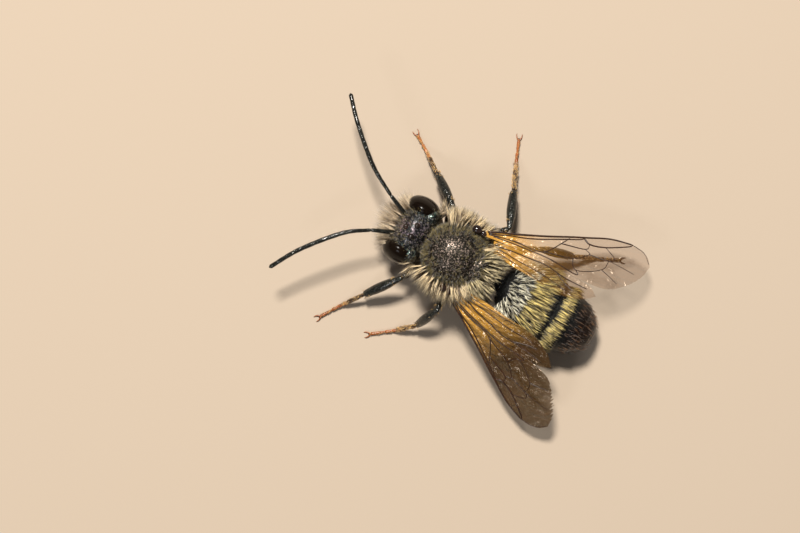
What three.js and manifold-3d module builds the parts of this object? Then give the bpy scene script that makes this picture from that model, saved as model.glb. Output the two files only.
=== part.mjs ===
// Male red mason bee: a still model at life size, standing on its six feet.
// Millimetres. +Z is up, the bee faces -Y and its left side is +X. Every place is
// measured from the middle of the thorax on the floor; the last lines then centre the
// whole bee, so its origin is at the middle of its box, on the floor.

import * as THREE from 'three';
import { mergeVertices } from 'three/addons/utils/BufferGeometryUtils.js';
import Module from 'manifold-3d';

const wasm = await Module();
wasm.setup();

// ---- Driving dimensions ----

const GAP = 0.15; // clear space where one piece meets the next
const CLEAR = 0.2; // how far hair locks keep from the pieces that they pass
const OVERRUN = 0.3; // how far a limb piece runs past a joint before it is parted there
const HALF_THIN = 0.25; // half the least thickness of a leg, feeler or wing
const CLEANED = 0.015; // edges shorter than this, left by a join or a cut, are closed up

const NECK_Y = -1.4; // where the head is parted from the thorax
const WAIST_Y = 2.2; // where the gaster is parted from the thorax
const GASTER_END_Y = 6.86;

// Swellings of the head and the thorax: middle, and half sizes across, along and up
const SKULL = { at: [0, -2.13, 1.97], half: [1.3, 0.74, 1.15] };
const CLYPEUS = { at: [0, -2.62, 1.42], half: [0.66, 0.42, 0.55] };
const EYE = { at: [1.02, -2.08, 2.02], half: [0.5, 0.58, 0.9], lean: -0.16 };
const OCELLUS_R = 0.15;
const OCELLI = [[0, -2.25], [0.31, -2.04], [-0.31, -2.04]];

const PLEURA = { at: [0, 0.15, 1.95], half: [1.36, 1.62, 1.12] };
const SCUTUM = { at: [0, -0.12, 2.45], half: [1.24, 1.3, 0.9] };
const SCUTELLUM = { at: [0, 1.1, 2.72], half: [0.82, 0.5, 0.45] };
const PROPODEUM = { at: [0, 1.35, 1.95], half: [1.0, 0.97, 0.95] };
const TEGULA = { at: [1.38, 0.3, 2.7], half: [0.3, 0.42, 0.26] };

const GASTER = { halfWidth: 1.52, flatness: 0.8, frontZ: 1.9, drop: 0.6, widest: 0.42 };
const TERGITES = [0.19, 0.36, 0.53, 0.71, 0.86, 0.97]; // rear rims, as shares of its length
const RIM = 0.05; // how far a rim stands proud

// ---- Colours ----

function finish(color, roughness, metalness = 0) {
  return new THREE.MeshStandardMaterial({ color, roughness, metalness });
}

const CUTICLE = finish(0x1c1d1a, 0.35, 0.4);
const PALE_COAT = finish(0xb9a67c, 0.9);
const GOLDEN_COAT = finish(0xc29a45, 0.85);
const EYE_BLACK = finish(0x120d0b, 0.2);
const AMBER = finish(0xa8702e, 0.3);
const RUSTY = finish(0x8a4a1c, 0.5);

// ---- Shapes ----

const UP = new THREE.Vector3(0, 0, 1);

function vec(x, y, z) {
  return new THREE.Vector3(x, y, z);
}

function blend(from, to, t) {
  return from + (to - from) * t;
}

function signedVolume(positions, corners) {
  let sum = 0;
  for (let i = 0; i < corners.length; i += 3) {
    const [a, b, c] = [0, 1, 2].map((k) => vec().fromArray(positions, corners[i + k] * 3));
    sum += a.dot(b.cross(c)) / 6;
  }
  return sum;
}

// Closed geometry as a solid, with its faces turned outwards
function solid(geometry) {
  geometry.deleteAttribute('normal');
  geometry.deleteAttribute('uv');
  const merged = mergeVertices(geometry, 1e-5);
  const positions = Float32Array.from(merged.attributes.position.array);
  const corners = merged.index.array;
  const triVerts = [];
  for (let i = 0; i < corners.length; i += 3) {
    const [a, b, c] = corners.slice(i, i + 3);
    if (a !== b && b !== c && c !== a) triVerts.push(a, b, c);
  }
  if (signedVolume(positions, triVerts) < 0) triVerts.reverse();
  const mesh = new wasm.Mesh({
    numProp: 3,
    vertProperties: positions,
    triVerts: Uint32Array.from(triVerts),
  });
  return new wasm.Manifold(mesh);
}

function union(solids) {
  return solids.reduce((whole, piece) => whole.add(piece));
}

function without(whole, tools) {
  return tools.reduce((rest, tool) => rest.subtract(tool), whole);
}

// The largest closed surface: drops scraps, and fills a hollow that fusing sealed
function largest(whole) {
  const bodies = whole.simplify(CLEANED).decompose();
  bodies.sort((a, b) => b.volume() - a.volume());
  return bodies[0];
}

function reshape(geometry, move) {
  const place = geometry.attributes.position;
  const point = vec();
  for (let i = 0; i < place.count; i += 1) {
    point.fromBufferAttribute(place, i);
    move(point);
    place.setXYZ(i, point.x, point.y, point.z);
  }
  return geometry;
}

// An egg-shaped swelling, fatter by grow all round
function swelling(form, grow = 0, across = 20, up = 12) {
  const ball = new THREE.SphereGeometry(1, across, up);
  ball.rotateX(Math.PI / 2);
  ball.scale(...form.half.map((half) => half + grow));
  ball.rotateY(form.lean ?? 0);
  ball.translate(...form.at);
  return solid(ball);
}

function mirrored(form, sign) {
  return { ...form, at: [form.at[0] * sign, form.at[1], form.at[2]], lean: (form.lean ?? 0) * sign };
}

// How far a ray from the inside runs before it leaves the last of these swellings
function reachOf(forms, from, direction) {
  const reaches = forms.map(({ at, half }) => {
    const scale = vec(...half);
    const start = from.clone().sub(vec(...at)).divide(scale);
    const step = direction.clone().divide(scale);
    const a = step.lengthSq();
    const b = start.dot(step);
    const inside = b * b - a * (start.lengthSq() - 1);
    return inside > 0 ? (Math.sqrt(inside) - b) / a : 0;
  });
  return Math.max(...reaches);
}

// A rod along a curve: sizeAt(t) gives its half sizes across and along the facing, and a
// crowd under 1 moves its steps towards the end
function rod(curve, sizeAt, sides, steps, facing, crowd = 1) {
  const straight = new THREE.CylinderGeometry(1, 1, 1, sides, steps);
  return solid(reshape(straight, (point) => {
    const t = (point.y + 0.5) ** crowd;
    const [wide, thick] = sizeAt(t);
    const along = curve.getTangentAt(t);
    const across = along.clone().cross(facing).normalize();
    const lift = across.clone().cross(along);
    const centre = curve.getPointAt(t);
    centre.addScaledVector(across, point.x * wide);
    centre.addScaledVector(lift, point.z * thick);
    point.copy(centre);
  }));
}

function smoothPath(points) {
  return new THREE.CatmullRomCurve3(points.map((p) => vec(...p)), false, 'centripetal');
}

function direction(from, to) {
  return to.clone().sub(from).normalize();
}

// The plane that halves the bend at a joint, facing away from the body
function parting(before, joint, after) {
  const normal = direction(before, joint).add(direction(joint, after)).normalize();
  return { normal, offset: normal.dot(joint) };
}

function farSide(shape, { normal, offset }) {
  return shape.trimByPlane(normal.toArray(), offset + GAP / 2);
}

function nearSide(shape, { normal, offset }) {
  return shape.trimByPlane(normal.clone().negate().toArray(), -(offset - GAP / 2));
}

function beyond(from, to, run) {
  return to.clone().addScaledVector(direction(from, to), run);
}

// ---- Hair locks: flat, tapered and bent, with the root sunk in ----

const LOCK = { halfWide: 0.37, halfThick: 0.2, sides: 4, steps: 2, shoulder: 0.7 };

let seed = 19;
function random() {
  seed = (Math.imul(seed, 1664525) + 1013904223) >>> 0;
  return seed / 2 ** 32;
}

function vary(size, share) {
  return size * (1 + share * (2 * random() - 1));
}

// Grows from root towards outward, and bends over until its tip points along lie
function lock(root, outward, lie, length, size = 1) {
  const reach = vary(length, 0.12);
  const sway = vec(random() - 0.5, random() - 0.5, random() - 0.5).multiplyScalar(0.3);
  const knee = root.clone().addScaledVector(outward, reach * 0.5);
  const tip = knee.clone().addScaledVector(lie.clone().add(sway).normalize(), reach * 0.6);
  const curve = new THREE.QuadraticBezierCurve3(root, knee, tip);
  const sizeAt = (t) => [
    LOCK.halfWide * size * Math.sqrt(1 - t ** 2.5),
    LOCK.halfThick * size * (1 - 0.75 * t),
  ];
  const aside = outward.clone().cross(lie).normalize();
  const facing = aside.cross(outward.clone().add(lie)).normalize();
  return rod(curve, sizeAt, LOCK.sides, LOCK.steps, facing, LOCK.shoulder);
}

// ---- The group, and how a finished solid enters it ----

const bee = new THREE.Group();
const SIDES = [['left', 1], ['right', -1]];

function enter(name, shape, material) {
  const data = largest(shape).getMesh();
  const geometry = new THREE.BufferGeometry();
  geometry.setAttribute('position', new THREE.BufferAttribute(data.vertProperties, 3));
  geometry.setIndex(new THREE.BufferAttribute(data.triVerts, 1));
  geometry.computeVertexNormals();
  const mesh = new THREE.Mesh(geometry, material);
  mesh.name = name;
  bee.add(mesh);
}

// ---- Shells of the head, thorax and gaster, fatter by grow where they part others ----

function skull(grow = 0) {
  return swelling(SKULL, grow, 20, 12).add(swelling(CLYPEUS, grow, 12, 8));
}

function thoraxShell(grow = 0) {
  const forms = [[PLEURA, 16, 10], [SCUTUM, 20, 10], [SCUTELLUM, 12, 7], [PROPODEUM, 14, 8]];
  return union(forms.map(([form, across, up]) => swelling(form, grow, across, up)));
}

const GASTER_START_Y = WAIST_Y + GAP / 2;
const GASTER_LENGTH = GASTER_END_Y - GASTER_START_Y;

function gasterWidth(t) {
  const run = t < GASTER.widest ? GASTER.widest + 0.03 : 1.005 - GASTER.widest;
  return GASTER.halfWidth * (1 - (Math.abs(t - GASTER.widest) / run) ** 2.4) ** (1 / 2.1);
}

function gasterMiddle(y) {
  const t = Math.max(0, (y - GASTER_START_Y) / GASTER_LENGTH);
  return GASTER.frontZ - GASTER.drop * t ** 1.4;
}

function gasterShell() {
  const profile = [new THREE.Vector2(0, GASTER_START_Y)];
  let front = 0;
  for (const rear of TERGITES) {
    for (const [share, rise] of [[0.07, -RIM / 2], [0.5, 0], [0.94, RIM]]) {
      const t = blend(front, rear, share);
      profile.push(new THREE.Vector2(gasterWidth(t) + rise, GASTER_START_Y + GASTER_LENGTH * t));
    }
    front = rear;
  }
  profile.push(new THREE.Vector2(0, GASTER_END_Y));
  return solid(reshape(new THREE.LatheGeometry(profile, 20), (point) => {
    point.z = point.z * GASTER.flatness + gasterMiddle(point.y);
  }));
}

// ---- Eyes: whole ovals that sit in sockets of the head ----

const EYES = SIDES.map(([side, sign]) => [side, mirrored(EYE, sign)]);
for (const [side, eye] of EYES) {
  enter(`eye_${side}`, swelling(eye, 0, 14, 9), EYE_BLACK);
}

// ---- Mandibles: two short curved blades below the clypeus ----

const MANDIBLE = [[0.72, -2.2, 1.15], [0.66, -2.6, 0.86], [0.26, -2.92, 0.72]];
const MANDIBLE_SIZES = { rootR: 0.27, tipWide: 0.14, tipThick: 0.17 };

function mandible(sign, grow = 0) {
  const path = smoothPath(MANDIBLE.map(([x, y, z]) => [x * sign, y, z]));
  const { rootR, tipWide, tipThick } = MANDIBLE_SIZES;
  const sizeAt = (t) => [blend(rootR, tipWide, t) + grow, blend(rootR, tipThick, t) + grow];
  return rod(path, sizeAt, 6, 4, UP);
}

for (const [side, sign] of SIDES) {
  enter(`mandible_${side}`, mandible(sign).subtract(skull(GAP)), CUTICLE);
}

// ---- Antennae: a scape and a long beaded flagellum on each side ----

const SCAPE_ROOT = [0.38, -2.62, 2.2];
const SCAPE_R = 0.25;
const FLAGELLUM = { joints: 11, rootR: 0.25, tipR: 0.2, bead: 0.02 };
const ANTENNAE = {
  left: {
    elbow: [0.9, -3.68, 2.62],
    bends: [[1.62, -4.62, 2.85], [3.14, -5.82, 2.8]],
    tip: [4.47, -6.55, 2.5],
  },
  right: {
    elbow: [-0.8, -3.7, 2.62],
    bends: [[-1.5, -5.0, 2.85], [-2.68, -6.45, 2.8]],
    tip: [-3.63, -7.39, 2.5],
  },
};

// The three places that the elbow is bent by: scape root, elbow and first bend
function elbowOf(side, sign) {
  const [x, y, z] = SCAPE_ROOT;
  return [vec(x * sign, y, z), vec(...ANTENNAE[side].elbow), vec(...ANTENNAE[side].bends[0])];
}

function scape(side, sign, grow = 0) {
  const [root, elbow] = elbowOf(side, sign);
  const path = new THREE.LineCurve3(root, beyond(root, elbow, OVERRUN));
  return rod(path, () => [SCAPE_R + grow, SCAPE_R + grow], 8, 2, UP);
}

function flagellum(side, sign) {
  const [, elbow, bend] = elbowOf(side, sign);
  const { bends, tip } = ANTENNAE[side];
  const radiusAt = (t) => {
    const wave = FLAGELLUM.bead * Math.cos(t * FLAGELLUM.joints * 2 * Math.PI);
    return blend(FLAGELLUM.rootR, FLAGELLUM.tipR, t) - wave;
  };
  const path = smoothPath([beyond(bend, elbow, OVERRUN).toArray(), ...bends, tip]);
  return rod(path, (t) => [radiusAt(t), radiusAt(t)], 6, FLAGELLUM.joints * 2, UP);
}

for (const [side, sign] of SIDES) {
  const plane = parting(...elbowOf(side, sign));
  enter(`antenna_${side}_scape`, nearSide(scape(side, sign), plane).subtract(skull(GAP)), CUTICLE);
  enter(`antenna_${side}_flagellum`, farSide(flagellum(side, sign), plane), CUTICLE);
}

// ---- Tegulae: the scales over the wing roots ----

for (const [side, sign] of SIDES) {
  const cap = swelling(mirrored(TEGULA, sign), 0, 12, 6);
  enter(`tegula_${side}`, cap.subtract(thoraxShell(GAP)), CUTICLE);
}

// ---- Wings: each a thin slab with its veins raised on the upper face ----

const WINGS = {
  left: { root: [1.5, 0.55, 2.5], tip: [4.55, 6.99, 1.15], roll: 0.58 },
  right: { root: [-1.5, 0.6, 2.5], tip: [-4.3, 7.3, 1.45], roll: 0.45 },
};
// Places in a wing: along it, then from its front edge towards its rear
const FORE_OUTLINE = [
  [0, -0.14], [2.2, -0.28], [4.2, -0.52], [5.4, -0.66], [6.4, -0.5], [7.1, -0.05], [7.2, 0.5],
  [6.8, 1.1], [6.1, 1.6], [5.2, 1.84], [4.0, 1.5], [2.4, 0.86], [0, 0.2],
];
const HIND_OUTLINE = [
  [0.4, 0.5], [2.4, 1.02], [3.9, 1.64], [4.7, 1.94], [4.9, 2.2],
  [4.3, 2.42], [3.1, 2.25], [1.7, 1.6], [0.4, 0.95],
];
const FORE_VEINS = [
  { thick: 1.3, at: [[0.1, -0.02], [2.2, -0.16], [4.2, -0.4], [5.4, -0.52], [6.3, -0.4]] },
  { thick: 1.0, at: [[4.3, -0.36], [4.54, -0.2], [5.24, -0.17], [6.2, -0.38]] },
  { thick: 1.15, at: [[0.1, 0.02], [2.47, 0.5], [3.27, -0.03], [3.64, -0.3]] },
  { thick: 0.95, at: [[3.27, -0.03], [4.34, 0.05], [4.54, -0.2]] },
  { thick: 0.9, at: [[2.47, 0.5], [3.78, 0.6], [4.52, 0.28], [4.34, 0.05]] },
  { thick: 0.85, at: [[4.52, 0.28], [5.37, 0.49], [5.6, 0.3], [5.24, -0.17]] },
  { thick: 0.8, at: [[3.78, 0.6], [3.95, 1.13], [5.05, 0.96], [5.37, 0.49]] },
  { thick: 1.05, at: [[0.3, 0.1], [2.39, 0.68], [3.92, 1.32], [3.95, 1.13]] },
];
const HIND_VEINS = [
  { thick: 1.1, at: [[0.6, 0.64], [2.45, 1.22], [3.38, 1.55], [4.5, 2.05]] },
  { thick: 0.85, at: [[3.38, 1.55], [3.88, 2.1]] },
  { thick: 0.95, at: [[0.6, 0.76], [2.45, 1.6], [3.6, 2.15]] },
];
const VEIN = { halfWide: 0.075, halfHigh: 0.1, sunk: 0.02 };

// Takes flat work (x along, y to the rear, z up) to the wing's place
function wingFrame(side, sign) {
  const { root, tip, roll } = WINGS[side];
  const along = vec(...tip).sub(vec(...root)).normalize();
  const level = UP.clone().cross(along).multiplyScalar(sign).normalize();
  const high = along.clone().cross(level).multiplyScalar(-sign);
  const rear = level.clone().multiplyScalar(Math.cos(roll)).addScaledVector(high, -Math.sin(roll));
  const face = along.clone().cross(rear);
  return new THREE.Matrix4().makeBasis(along, rear, face).setPosition(...root);
}

function slab(outline, frame, grow = 0) {
  const edge = new THREE.SplineCurve(outline.map(([u, v]) => new THREE.Vector2(u, v)));
  const shape = new THREE.Shape(edge.getPoints(outline.length * 1.3));
  const depth = 2 * (HALF_THIN + grow);
  const flat = new THREE.ExtrudeGeometry(shape, { depth, bevelEnabled: false });
  flat.translate(0, 0, -depth / 2);
  return solid(flat.applyMatrix4(frame));
}

function veins(lines, frame, sign) {
  const face = vec().setFromMatrixColumn(frame, 2);
  const level = (HALF_THIN - VEIN.sunk) * sign;
  return lines.map(({ thick, at }) => {
    const points = at.map(([u, v]) => vec(u, v, level).applyMatrix4(frame));
    const path = new THREE.CatmullRomCurve3(points, false, 'centripetal');
    const [wide, high] = [VEIN.halfWide * thick, VEIN.halfHigh * thick];
    return rod(path, () => [wide, high], 4, at.length * 2 - 2, face);
  });
}

const wingTools = [];
for (const [side, sign] of SIDES) {
  const frame = wingFrame(side, sign);
  const tegula = swelling(mirrored(TEGULA, sign), GAP, 12, 8);
  for (const [pair, outline, lines] of [
    ['forewing', FORE_OUTLINE, FORE_VEINS], ['hindwing', HIND_OUTLINE, HIND_VEINS]]) {
    const ribbed = union([slab(outline, frame), ...veins(lines, frame, sign)]);
    enter(`${pair}_${side}`, without(ribbed, [thoraxShell(GAP), tegula]), AMBER);
    wingTools.push(slab(outline, frame, CLEAR));
  }
}

// ---- Legs: coxa and femur, tibia, tarsus, parted square across each bend ----

// Joints from the body down to the claws: hip, trochanter, knee, ankle, heel, toe
const LEGS = {
  fore_left: [[0.45, -0.7, 1.35], [0.85, -0.95, 0.95], [1.95, -1.5, 1.7],
    [3.45, -2.55, 0.75], [4.35, -3.15, 0.26], [5.2, -3.66, 0.18]],
  fore_right: [[-0.45, -0.7, 1.35], [-0.85, -0.95, 0.95], [-1.75, -1.15, 1.85],
    [-2.68, -2.5, 0.78], [-3.3, -3.42, 0.26], [-3.68, -4.05, 0.18]],
  mid_left: [[0.5, 0.1, 1.3], [0.95, 0.25, 0.92], [2.35, 0.5, 2.05],
    [3.4, 0.1, 0.7], [4.05, -0.55, 0.26], [4.75, -1.4, 0.18]],
  mid_right: [[-0.5, 0.1, 1.3], [-0.95, 0.25, 0.92], [-2.2, 1.36, 1.75],
    [-3.76, 0.7, 0.78], [-4.9, 0.18, 0.26], [-5.76, -0.2, 0.18]],
  hind_left: [[0.45, 1.0, 1.35], [0.95, 1.3, 0.95], [2.0, 2.8, 1.6],
    [2.65, 4.4, 0.78], [3.05, 5.2, 0.26], [3.55, 6.2, 0.18]],
  hind_right: [[-0.45, 1.0, 1.35], [-0.95, 1.3, 0.95], [-2.1, 2.85, 1.75],
    [-2.65, 4.4, 0.78], [-3.05, 5.2, 0.26], [-3.55, 6.2, 0.18]],
};
const LEG_R = { hip: 0.36, trochanter: 0.26, thigh: 0.3, knee: 0.25, shin: 0.3, heel: 0.25, toe: 0.23 };
const CLAW = { length: 0.42, spread: 0.16, rootR: 0.14, tipR: 0.05, drop: 0.08 };
function thighOf(joints, facing, grow = 0) {
  const [hip, trochanter, knee] = joints;
  const path = new THREE.CatmullRomCurve3([hip, trochanter, beyond(trochanter, knee, OVERRUN)]);
  const sizeAt = (t) => {
    const radius = t < 0.3 ? blend(LEG_R.hip, LEG_R.trochanter, t / 0.3)
      : blend(LEG_R.trochanter, LEG_R.knee, (t - 0.3) / 0.7)
        + (LEG_R.thigh - LEG_R.knee) * Math.sin(Math.PI * (t - 0.3) / 0.7);
    return [radius + grow, radius + grow];
  };
  return rod(path, sizeAt, 8, 7, facing);
}

function shinOf(joints, facing) {
  const [knee, ankle] = [joints[2], joints[3]];
  const path = new THREE.LineCurve3(beyond(ankle, knee, OVERRUN), beyond(knee, ankle, OVERRUN));
  const sizeAt = (t) => {
    const radius = blend(LEG_R.knee, LEG_R.shin, Math.min(1, t * 1.5));
    return [radius, radius];
  };
  return rod(path, sizeAt, 8, 4, facing);
}

function footOf(joints, facing) {
  const [ankle, heel, toe] = joints.slice(3);
  const start = beyond(heel, ankle, OVERRUN);
  const path = new THREE.CatmullRomCurve3([start, ankle, heel, toe], false, 'centripetal');
  const sizeAt = (t) => {
    const radius = blend(LEG_R.heel, LEG_R.toe, t);
    return [radius, radius];
  };
  const pad = rod(path, sizeAt, 8, 7, facing);
  const ahead = vec(toe.x - heel.x, toe.y - heel.y, 0).normalize();
  const aside = ahead.clone().cross(UP);
  const claws = [-1, 1].map((turn) => {
    const root = toe.clone().addScaledVector(ahead, -CLAW.rootR);
    const bend = toe.clone().addScaledVector(ahead, CLAW.length / 2);
    bend.addScaledVector(aside, turn * CLAW.spread);
    const tip = toe.clone().addScaledVector(ahead, CLAW.length);
    tip.addScaledVector(aside, turn * CLAW.spread);
    tip.z = CLAW.drop;
    const hook = new THREE.QuadraticBezierCurve3(root, bend, tip);
    return rod(hook, (t) => Array(2).fill(blend(CLAW.rootR, CLAW.tipR, t)), 4, 2, UP);
  });
  return union([pad, ...claws]).trimByPlane([0, 0, 1], 0);
}

const thighTools = [];
for (const [leg, points] of Object.entries(LEGS)) {
  const joints = points.map((p) => vec(...p));
  const [, trochanter, knee, ankle, heel, toe] = joints;
  const facing = vec(toe.x, toe.y, 0).sub(vec(trochanter.x, trochanter.y, 0)).cross(UP).normalize();
  const kneePlane = parting(trochanter, knee, ankle);
  const anklePlane = parting(knee, ankle, heel);
  const thigh = nearSide(thighOf(joints, facing), kneePlane);
  const shin = nearSide(farSide(shinOf(joints, facing), kneePlane), anklePlane);
  enter(`leg_${leg}_femur`, thigh.subtract(thoraxShell(GAP)), CUTICLE);
  enter(`leg_${leg}_tibia`, shin, CUTICLE);
  enter(`leg_${leg}_tarsus`, farSide(footOf(joints, facing), anklePlane), RUSTY);
  thighTools.push(thighOf(joints, facing, CLEAR));
}

// ---- Head, thorax and gaster ----

function ocellus([x, y]) {
  const rest = 1 - (x / SKULL.half[0]) ** 2 - ((y - SKULL.at[1]) / SKULL.half[1]) ** 2;
  const z = SKULL.at[2] + SKULL.half[2] * Math.sqrt(rest);
  return swelling({ at: [x, y, z], half: Array(3).fill(OCELLUS_R) }, 0, 8, 6);
}

const DEGREE = Math.PI / 180;

// Face beard, cheeks and brow: turn to the side and lift from straight ahead, in degrees
const BEARD = [
  { lift: 48, turns: [-30, 0, 30], shown: 0.5 },
  { lift: 26, turns: [-46, 0, 46], shown: 0.62 },
  { lift: 6, turns: [-52, -26, 0, 26, 52], shown: 0.75 },
  { lift: -14, turns: [-44, -15, 15, 44], shown: 0.8 },
  { lift: -34, turns: [-64, -34, 0, 34, 64], shown: 0.75 },
  { lift: -56, turns: [-95, -50, 50, 95], shown: 0.6 },
];
const SUNK = 0.34; // how deep a lock is rooted

// Straight ahead, turned aside and then lifted
function pointing(aside, rise) {
  const flat = vec(Math.sin(aside), -Math.cos(aside), 0);
  return flat.multiplyScalar(Math.cos(rise)).addScaledVector(UP, Math.sin(rise));
}

function beard() {
  const middle = vec(...SKULL.at);
  const locks = [];
  for (const { lift, turns, shown } of BEARD) {
    for (const turn of turns) {
      const [aside, rise] = [vary(turn, 0.06) * DEGREE, lift * DEGREE];
      const outward = pointing(aside, rise);
      const depth = reachOf([SKULL, CLYPEUS], middle, outward) - SUNK;
      const lie = vec(outward.x * 0.8, -0.7, outward.z * 0.3 - 0.6).normalize();
      locks.push(lock(middle.clone().addScaledVector(outward, depth), outward, lie, shown + SUNK, 0.9));
    }
  }
  return locks;
}

// Ruff of the thorax: rows of locks round it, at each height a full or a broken ring
const THORAX_FORMS = [PLEURA, SCUTUM, SCUTELLUM, PROPODEUM];
const RUFF_MIDDLE = [0, 0.25, 2.0];
const RUFF = [
  { lift: 42, count: 15, bareFront: 0, bareRear: 0, shown: 0.75 },
  { lift: 21, count: 17, bareFront: 20, bareRear: 16, shown: 0.95 },
  { lift: 0, count: 17, bareFront: 38, bareRear: 34, shown: 0.95 },
  { lift: -22, count: 14, bareFront: 44, bareRear: 42, shown: 0.8 },
];

function ruff() {
  const middle = vec(...RUFF_MIDDLE);
  const locks = [];
  RUFF.forEach(({ lift, count, bareFront, bareRear, shown }, row) => {
    for (let i = 0; i < count; i += 1) {
      const turn = 360 * (i + 0.5 * (row % 2) + 0.3 * random()) / count;
      const fromFront = Math.min(turn, 360 - turn);
      if (fromFront < bareFront || 180 - fromFront < bareRear) continue;
      const [aside, rise] = [turn * DEGREE, lift * DEGREE];
      const outward = pointing(aside, rise);
      const depth = reachOf(THORAX_FORMS, middle, outward) - SUNK;
      const lie = vec(outward.x, outward.y + 0.35, outward.z - 0.75).normalize();
      locks.push(lock(middle.clone().addScaledVector(outward, depth), outward, lie, shown + SUNK));
    }
  });
  return locks;
}

// Gaster: rings of locks that lie backwards, from below one side over the back to the other
const HAIR_RINGS = [
  { at: 0.05, count: 9, shown: 0.85 },
  { at: 0.18, count: 10, shown: 0.8 },
  { at: 0.32, count: 10, shown: 0.75 },
  { at: 0.46, count: 10, shown: 0.7 },
  { at: 0.61, count: 9, shown: 0.65 },
  { at: 0.77, count: 8, shown: 0.5 },
  { at: 0.9, count: 5, shown: 0.35 },
];
const RING_START = -38; // degrees below level at each side
const SLOPE_STEP = 0.03;
const STEEPEST = 0.25; // the rise of the front rings is held to this, so that they lie down

function gasterHair() {
  const locks = [];
  HAIR_RINGS.forEach(({ at, count, shown }, ring) => {
    const y = GASTER_START_Y + GASTER_LENGTH * at;
    const middle = vec(0, y, gasterMiddle(y));
    const widening = gasterWidth(at + SLOPE_STEP) - gasterWidth(at - SLOPE_STEP);
    const slope = Math.min(STEEPEST, widening / (2 * SLOPE_STEP * GASTER_LENGTH));
    for (let i = 0; i < count; i += 1) {
      const share = (i + 0.25 + 0.5 * (ring % 2)) / count;
      const angle = blend(RING_START, 180 - RING_START, share) * DEGREE;
      const surface = vec(Math.cos(angle), 0, Math.sin(angle) * GASTER.flatness);
      const root = middle.clone().addScaledVector(surface, gasterWidth(at) - SUNK * 0.6);
      const back = surface.clone().multiplyScalar(slope).add(vec(0, 1, 0)).normalize();
      const outward = back.clone().addScaledVector(surface, 0.75).normalize();
      const lie = back.clone().addScaledVector(surface, -0.12).normalize();
      locks.push(lock(root, outward, lie, shown + SUNK, 0.9));
    }
  });
  return locks;
}

function coated(core, locks, tools) {
  return union([core, ...locks.map((piece) => without(piece, tools))]);
}

const sockets = EYES.map(([, eye]) => swelling(eye, GAP, 16, 10));
const scapeTools = SIDES.map(([side, sign]) => scape(side, sign, CLEAR));
const mandibleTools = SIDES.map(([, sign]) => mandible(sign, CLEAR));
const bareHead = without(union([skull(), ...OCELLI.map(ocellus)]), sockets);
const head = coated(bareHead, beard(), [...sockets, ...scapeTools, ...mandibleTools]);
enter('head', head.trimByPlane([0, -1, 0], -(NECK_Y - GAP / 2)), CUTICLE);

const tegulaTools = SIDES.map(([, sign]) => swelling(mirrored(TEGULA, sign), CLEAR, 12, 8));
const thorax = coated(thoraxShell(), ruff(), [...wingTools, ...thighTools, ...tegulaTools]);
enter('thorax', thorax.trimByPlane([0, 1, 0], NECK_Y + GAP / 2)
  .trimByPlane([0, -1, 0], -(WAIST_Y - GAP / 2)), PALE_COAT);

enter('abdomen', coated(gasterShell(), gasterHair(), [...wingTools, ...thighTools]), GOLDEN_COAT);

// ---- The whole bee, centred over its own box ----

const whole = new THREE.Group();
const box = new THREE.Box3().setFromObject(bee);
bee.position.set(-(box.min.x + box.max.x) / 2, -(box.min.y + box.max.y) / 2, 0);
whole.add(bee);

export default whole;
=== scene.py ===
import math

import bmesh
import bpy
import numpy as np
from mathutils import Matrix, Vector


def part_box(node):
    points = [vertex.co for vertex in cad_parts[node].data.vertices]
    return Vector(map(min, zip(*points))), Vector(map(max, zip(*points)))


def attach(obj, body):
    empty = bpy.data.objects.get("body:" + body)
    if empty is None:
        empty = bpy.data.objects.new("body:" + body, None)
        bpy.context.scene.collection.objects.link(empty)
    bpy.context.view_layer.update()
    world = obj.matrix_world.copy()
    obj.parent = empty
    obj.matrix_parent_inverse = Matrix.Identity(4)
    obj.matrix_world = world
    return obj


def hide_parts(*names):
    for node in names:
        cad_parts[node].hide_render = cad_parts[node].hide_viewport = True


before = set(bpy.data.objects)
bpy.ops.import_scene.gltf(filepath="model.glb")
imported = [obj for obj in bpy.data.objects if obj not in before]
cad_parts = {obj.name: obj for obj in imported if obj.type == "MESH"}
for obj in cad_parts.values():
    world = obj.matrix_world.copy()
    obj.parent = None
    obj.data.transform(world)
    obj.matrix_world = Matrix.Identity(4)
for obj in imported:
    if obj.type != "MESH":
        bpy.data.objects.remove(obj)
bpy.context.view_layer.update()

# ---- Where the bee stands ----
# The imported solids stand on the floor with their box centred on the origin. Every size here
# is in millimetres from the floor under the middle of the thorax, head towards -Y, and PLACE
# takes a finished mesh from there to its own place in metres.
MM = 0.001
EYES_AHEAD = 2.08
eye_corners = [*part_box("eye_left"), *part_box("eye_right")]
eyes_middle = sum(eye_corners, Vector()) / len(eye_corners)
PLACE = Matrix.Translation((eyes_middle.x, eyes_middle.y + EYES_AHEAD * MM, 0)) @ Matrix.Scale(MM, 4)
UP = Vector((0, 0, 1))
SIDES = {"left": 1, "right": -1}

# ---- Camera ----
# Looks straight down on the bee through a long lens, turned so that the bee heads to the
# upper left of the picture.
view_right = Vector((-0.514, 0.857, 0)).normalized()
view_up = UP.cross(view_right)
AIM = (1.583, -1.816, 2.5)
LENS, SENSOR, VIEW_WIDTH = 100, 36, 33.9


def stand(name, data):
    thing = bpy.data.objects.new(name, data)
    bpy.context.scene.collection.objects.link(thing)
    return thing


camera = stand("camera", bpy.data.cameras.new("camera"))
camera.data.sensor_width = SENSOR
camera.data.lens = LENS
camera.data.clip_start = MM
camera.rotation_mode = "QUATERNION"
camera.rotation_quaternion = Matrix((view_right, view_up, UP)).transposed().to_quaternion()
camera.location = PLACE @ Vector((*AIM[:2], AIM[2] + VIEW_WIDTH * LENS / SENSOR))
bpy.context.scene.camera = camera

# ---- Studio ----
# A pale matt table, one soft lamp high on the upper side of the picture, a much weaker one
# on its lower left, and a pale room all round.
TABLE_HALF, LAMP_DISTANCE = 1000, 260


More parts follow.
